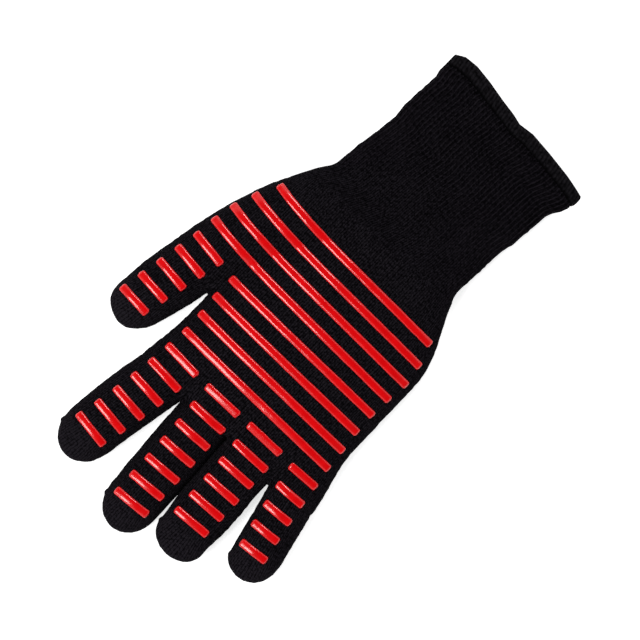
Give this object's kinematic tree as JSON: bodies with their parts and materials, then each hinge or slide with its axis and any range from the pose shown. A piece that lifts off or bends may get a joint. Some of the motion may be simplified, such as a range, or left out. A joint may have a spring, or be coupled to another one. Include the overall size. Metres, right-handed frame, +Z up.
{
  "type": "heat resistant glove",
  "caption": "Black knit heat resistant glove for the right hand, palm up, with red silicone grip bars, a cotton liner and a ribbed cuff. The digits and the wrist fold.",
  "frame": {"origin": "on the table, under the middle of the glove's outline", "axes": "+Y from the cuff to the fingertips, +X to the thumb side, +Z up out of the palm"},
  "size_m": [0.18, 0.3384, 0.0237],
  "materials": {
    "outer_knit": "matte black knit, ribbed on the cuff",
    "hem_thread": "matte black overlock thread",
    "cotton_liner": "soft off-white cotton knit",
    "grip_silicone": "glossy red silicone"
  },
  "bodies": {
    "hand": {"hand_shell": "outer_knit", "hand_liner": "cotton_liner", "palm_grips": "grip_silicone", "finger_root_grips": "grip_silicone", "thumb_root_grips": "grip_silicone"},
    "cuff": {"cuff_shell": "outer_knit", "cuff_liner": "cotton_liner", "cuff_hem": "hem_thread"},
    "thumb_base": {"thumb_base_shell": "outer_knit", "thumb_base_liner": "cotton_liner", "thumb_base_grips": "grip_silicone"},
    "thumb_tip": {"thumb_tip_shell": "outer_knit", "thumb_tip_liner": "cotton_liner", "thumb_tip_grips": "grip_silicone"},
    "index_base": {"index_base_shell": "outer_knit", "index_base_liner": "cotton_liner", "index_base_grips": "grip_silicone"},
    "index_tip": {"index_tip_shell": "outer_knit", "index_tip_liner": "cotton_liner", "index_tip_grips": "grip_silicone"},
    "middle_base": {"middle_base_shell": "outer_knit", "middle_base_liner": "cotton_liner", "middle_base_grips": "grip_silicone"},
    "middle_tip": {"middle_tip_shell": "outer_knit", "middle_tip_liner": "cotton_liner", "middle_tip_grips": "grip_silicone"},
    "ring_base": {"ring_base_shell": "outer_knit", "ring_base_liner": "cotton_liner", "ring_base_grips": "grip_silicone"},
    "ring_tip": {"ring_tip_shell": "outer_knit", "ring_tip_liner": "cotton_liner", "ring_tip_grips": "grip_silicone"},
    "little_base": {"little_base_shell": "outer_knit", "little_base_liner": "cotton_liner", "little_base_grips": "grip_silicone"},
    "little_tip": {"little_tip_shell": "outer_knit", "little_tip_liner": "cotton_liner", "little_tip_grips": "grip_silicone"}
  },
  "joints": [
    {"name": "wrist_fold", "type": "hinge", "parent": "hand", "child": "cuff", "pos_m": [-0.0049, -0.07242, 0.02], "axis": [-1, 0, 0], "range_deg": [0, 55]},
    {"name": "thumb_root_fold", "type": "hinge", "parent": "hand", "child": "thumb_base", "pos_m": [0.06799, 0.03288, 0.019], "axis": [0.9823, -0.1874, 0], "range_deg": [0, 50]},
    {"name": "thumb_mid_fold", "type": "hinge", "parent": "thumb_base", "child": "thumb_tip", "pos_m": [0.07294, 0.05881, 0.019], "axis": [0.9823, -0.1874, 0], "range_deg": [0, 65]},
    {"name": "index_root_fold", "type": "hinge", "parent": "hand", "child": "index_base", "pos_m": [0.03576, 0.09108, 0.0185], "axis": [1, 0, 0], "range_deg": [0, 75]},
    {"name": "index_mid_fold", "type": "hinge", "parent": "index_base", "child": "index_tip", "pos_m": [0.04007, 0.11713, 0.0185], "axis": [1, 0, 0], "range_deg": [0, 80]},
    {"name": "middle_root_fold", "type": "hinge", "parent": "hand", "child": "middle_base", "pos_m": [0.00006, 0.09108, 0.0185], "axis": [1, 0, 0], "range_deg": [0, 75]},
    {"name": "middle_mid_fold", "type": "hinge", "parent": "middle_base", "child": "middle_tip", "pos_m": [-0.0011, 0.11746, 0.0185], "axis": [1, 0, 0], "range_deg": [0, 80]},
    {"name": "ring_root_fold", "type": "hinge", "parent": "hand", "child": "ring_base", "pos_m": [-0.03504, 0.09108, 0.0185], "axis": [1, 0, 0], "range_deg": [0, 75]},
    {"name": "ring_mid_fold", "type": "hinge", "parent": "ring_base", "child": "ring_tip", "pos_m": [-0.0362, 0.11746, 0.0185], "axis": [1, 0, 0], "range_deg": [0, 80]},
    {"name": "little_root_fold", "type": "hinge", "parent": "hand", "child": "little_base", "pos_m": [-0.06864, 0.09108, 0.0185], "axis": [1, 0, 0], "range_deg": [0, 75]},
    {"name": "little_mid_fold", "type": "hinge", "parent": "little_base", "child": "little_tip", "pos_m": [-0.07395, 0.11694, 0.0185], "axis": [1, 0, 0], "range_deg": [0, 80]}
  ]
}
